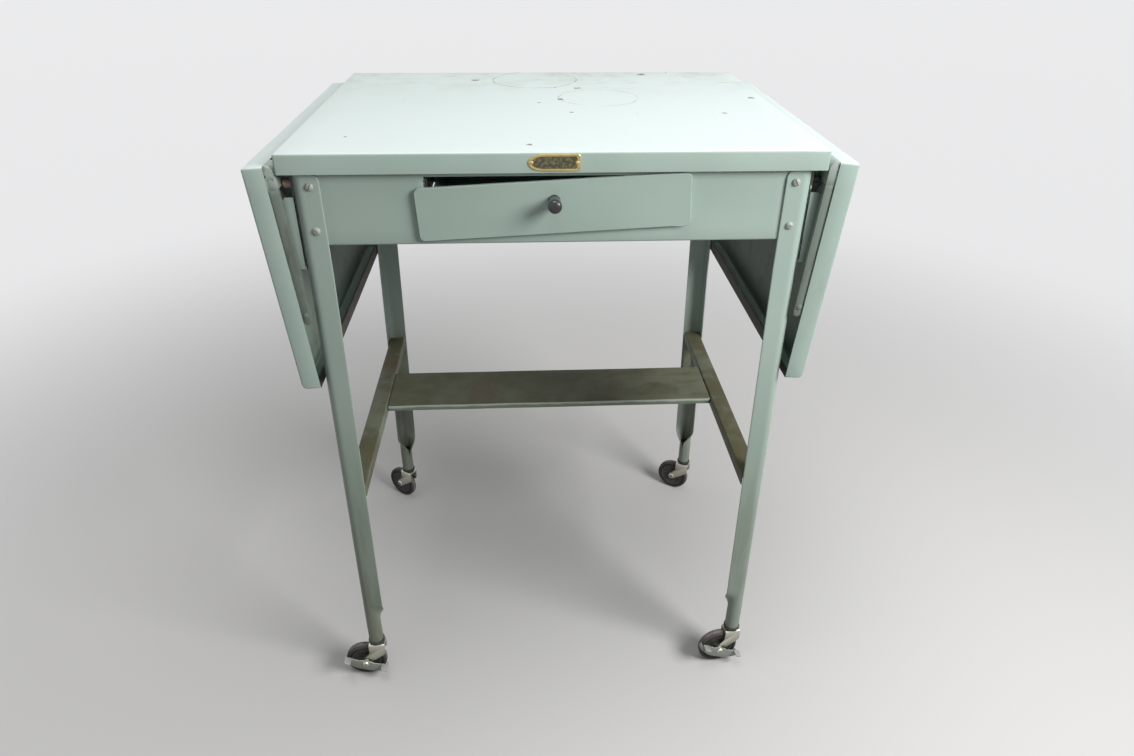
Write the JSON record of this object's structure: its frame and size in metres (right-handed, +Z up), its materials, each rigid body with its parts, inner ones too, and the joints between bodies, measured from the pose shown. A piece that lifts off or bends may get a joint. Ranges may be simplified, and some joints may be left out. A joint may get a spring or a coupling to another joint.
{
  "type": "typewriter table",
  "caption": "Narrow pressed-steel typewriter table with hanging drop leaves, a shallow drawer, a low shelf between side rails and swivel casters, the front ones braked.",
  "frame": {"origin": "on the floor, under the middle of the bounding box", "axes": "+Z up, -Y is the drawer side, +X is to the right seen from the drawer side"},
  "size_m": [0.5386, 0.4086, 0.673],
  "materials": {
    "enamel": "pale green stoved enamel, satin",
    "enamel_worn": "green enamel under old grime and rust",
    "enamel_dark": "green enamel, shaded inner parts",
    "zinc_steel": "dull zinc-plated steel",
    "nickel": "worn nickel plate",
    "dark_steel": "oiled dark steel",
    "brass": "polished sheet brass",
    "black_plastic": "glossy black moulding",
    "tyre": "hard dark rubber, worn tread",
    "hub": "dark moulded hub"
  },
  "bodies": {
    "frame": {"apron_front": "enamel", "apron_left": "enamel", "apron_rear": "enamel", "apron_right": "enamel", "badge_pins": "brass", "badge_plate": "brass", "bracket_rivets": "zinc_steel", "caster_sockets": "dark_steel", "drawer_runner_left": "enamel_dark", "drawer_runner_right": "enamel_dark", "hinge_brackets": "enamel", "latch_guides": "zinc_steel", "latch_springs": "zinc_steel", "leg_front_left": "enamel", "leg_front_right": "enamel", "leg_nuts": "zinc_steel", "leg_rear_left": "enamel", "leg_rear_right": "enamel", "leg_screws": "zinc_steel", "shelf": "enamel_worn", "shelf_rivets": "zinc_steel", "stretcher_left": "enamel_worn", "stretcher_right": "enamel_worn", "stretcher_rivets": "zinc_steel", "table_top": "enamel"},
    "drawer": {"drawer_front": "enamel", "drawer_knob": "black_plastic", "drawer_tray": "enamel_dark", "knob_screw": "zinc_steel"},
    "leaf_left": {"arm_rivets_left": "zinc_steel", "hinge_pins_left": "zinc_steel", "leaf_arms_left": "zinc_steel", "leaf_left": "enamel"},
    "leaf_right": {"arm_rivets_right": "zinc_steel", "hinge_pins_right": "zinc_steel", "leaf_arms_right": "zinc_steel", "leaf_right": "enamel"},
    "latch_left": {"latch_bolt_left": "zinc_steel"},
    "latch_right": {"latch_bolt_right": "zinc_steel"},
    "caster_front_left": {"caster_fixings_front_left": "nickel", "caster_fork_front_left": "nickel"},
    "wheel_front_left": {"wheel_hub_front_left": "hub", "wheel_tyre_front_left": "tyre"},
    "caster_front_right": {"caster_fixings_front_right": "nickel", "caster_fork_front_right": "nickel"},
    "wheel_front_right": {"wheel_hub_front_right": "hub", "wheel_tyre_front_right": "tyre"},
    "caster_rear_left": {"caster_fixings_rear_left": "nickel", "caster_fork_rear_left": "nickel"},
    "wheel_rear_left": {"wheel_hub_rear_left": "hub", "wheel_tyre_rear_left": "tyre"},
    "caster_rear_right": {"caster_fixings_rear_right": "nickel", "caster_fork_rear_right": "nickel"},
    "wheel_rear_right": {"wheel_hub_rear_right": "hub", "wheel_tyre_rear_right": "tyre"},
    "brake_front_left": {"brake_rocker_front_left": "nickel"},
    "brake_front_right": {"brake_rocker_front_right": "nickel"}
  },
  "joints": [
    {"name": "drawer_slide", "type": "slide", "parent": "frame", "child": "drawer", "axis": [0, -1, 0], "range_m": [0, 0.24]},
    {"name": "leaf_left_hinge", "type": "hinge", "parent": "frame", "child": "leaf_left", "pos_m": [-0.24755, 0.00472, 0.6545], "axis": [0, 1, 0], "range_deg": [0, 94]},
    {"name": "leaf_right_hinge", "type": "hinge", "parent": "frame", "child": "leaf_right", "pos_m": [0.25045, 0.00472, 0.6545], "axis": [0, -1, 0], "range_deg": [0, 94]},
    {"name": "latch_left_slide", "type": "slide", "parent": "frame", "child": "latch_left", "axis": [-1, 0, 0], "range_m": [0, 0.0105]},
    {"name": "latch_right_slide", "type": "slide", "parent": "frame", "child": "latch_right", "axis": [1, 0, 0], "range_m": [0, 0.0105]},
    {"name": "caster_front_left_swivel", "type": "hinge", "parent": "frame", "child": "caster_front_left", "pos_m": [-0.22605, -0.17218, 0.06], "axis": [0, 0, 1], "continuous": true},
    {"name": "wheel_front_left_spin", "type": "hinge", "parent": "caster_front_left", "child": "wheel_front_left", "pos_m": [-0.24205, -0.17218, 0.0255], "axis": [0, 1, 0], "continuous": true},
    {"name": "brake_front_left_rock", "type": "hinge", "parent": "caster_front_left", "child": "brake_front_left", "pos_m": [-0.24205, -0.18263, 0.0255], "axis": [0, 1, 0], "range_deg": [-39, 5]},
    {"name": "caster_front_right_swivel", "type": "hinge", "parent": "frame", "child": "caster_front_right", "pos_m": [0.22895, -0.17218, 0.06], "axis": [0, 0, 1], "continuous": true},
    {"name": "wheel_front_right_spin", "type": "hinge", "parent": "caster_front_right", "child": "wheel_front_right", "pos_m": [0.2131, -0.17441, 0.0255], "axis": [-0.1392, 0.9903, 0], "continuous": true},
    {"name": "brake_front_right_rock", "type": "hinge", "parent": "caster_front_right", "child": "brake_front_right", "pos_m": [0.21456, -0.18476, 0.0255], "axis": [-0.1392, 0.9903, 0], "range_deg": [-44, 0]},
    {"name": "caster_rear_left_swivel", "type": "hinge", "parent": "frame", "child": "caster_rear_left", "pos_m": [-0.22805, 0.17692, 0.06], "axis": [0, 0, 1], "continuous": true},
    {"name": "wheel_rear_left_spin", "type": "hinge", "parent": "caster_rear_left", "child": "wheel_rear_left", "pos_m": [-0.241, 0.18632, 0.0255], "axis": [0.5878, 0.809, 0], "continuous": true},
    {"name": "caster_rear_right_swivel", "type": "hinge", "parent": "frame", "child": "caster_rear_right", "pos_m": [0.23095, 0.17692, 0.06], "axis": [0, 0, 1], "continuous": true},
    {"name": "wheel_rear_right_spin", "type": "hinge", "parent": "caster_rear_right", "child": "wheel_rear_right", "pos_m": [0.21723, 0.18516, 0.0255], "axis": [0.515, 0.8572, 0], "continuous": true}
  ],
  "couplings": [
    {"joint": "latch_left_slide", "follows": "leaf_left_hinge", "m_per_rad": 0.0062},
    {"joint": "latch_right_slide", "follows": "leaf_right_hinge", "m_per_rad": 0.0062}
  ]
}
